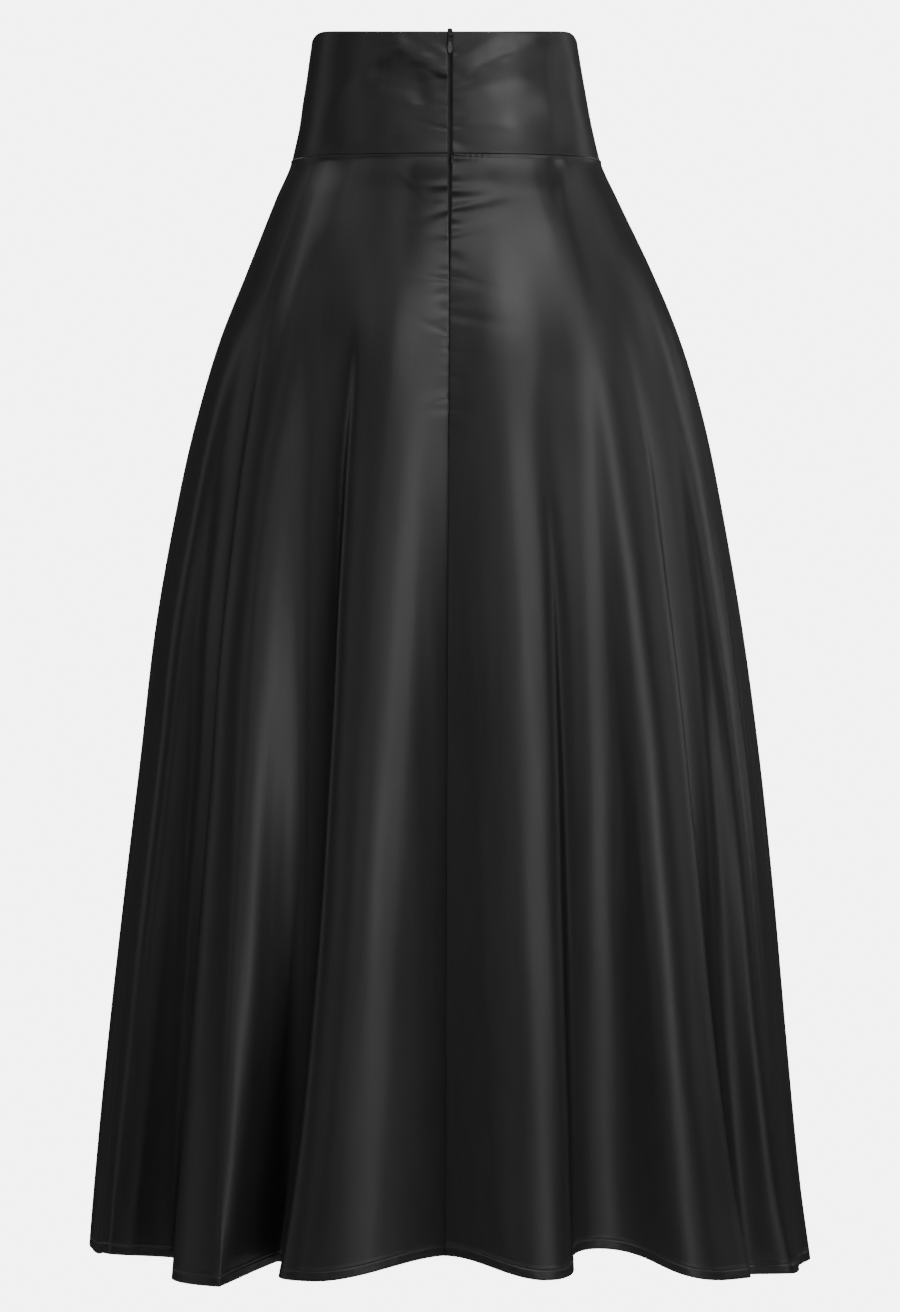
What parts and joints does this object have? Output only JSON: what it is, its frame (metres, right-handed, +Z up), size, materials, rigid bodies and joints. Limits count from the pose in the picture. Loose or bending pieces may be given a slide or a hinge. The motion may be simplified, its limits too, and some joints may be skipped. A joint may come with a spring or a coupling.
{
  "type": "high-low maxi skirt",
  "caption": "High-waisted flared satin maxi skirt with a tall waistband, a zip at the centre back and a hem that is short in front and long behind.",
  "frame": {"origin": "centre of the waistband's hollow at half the band's height, where the wearer's waist holds the skirt", "axes": "+Y the way the wearer faces, so the zip at the centre back faces -Y; +X the wearer's right; +Z up"},
  "size_m": [0.6491, 0.5129, 1.1071],
  "materials": {
    "satin": "black polyester satin with a soft vertical sheen",
    "tape": "matte black woven zip tape",
    "enamel": "glossy black enamel"
  },
  "bodies": {
    "garment": {"waistband_back_left": "satin", "waistband_back_right": "satin", "waistband_front": "satin", "skirt_back_left": "satin", "skirt_back_right": "satin", "skirt_front": "satin", "zip_tape_left": "tape", "zip_tape_right": "tape", "zip_slider": "enamel"},
    "pull": {"zip_pull": "enamel"}
  },
  "joints": [
    {"name": "zip_pull_hinge", "type": "hinge", "parent": "garment", "child": "pull", "pos_m": [0, -0.09462, 0.05112], "axis": [-1, 0, 0], "range_deg": [0, 150]}
  ]
}
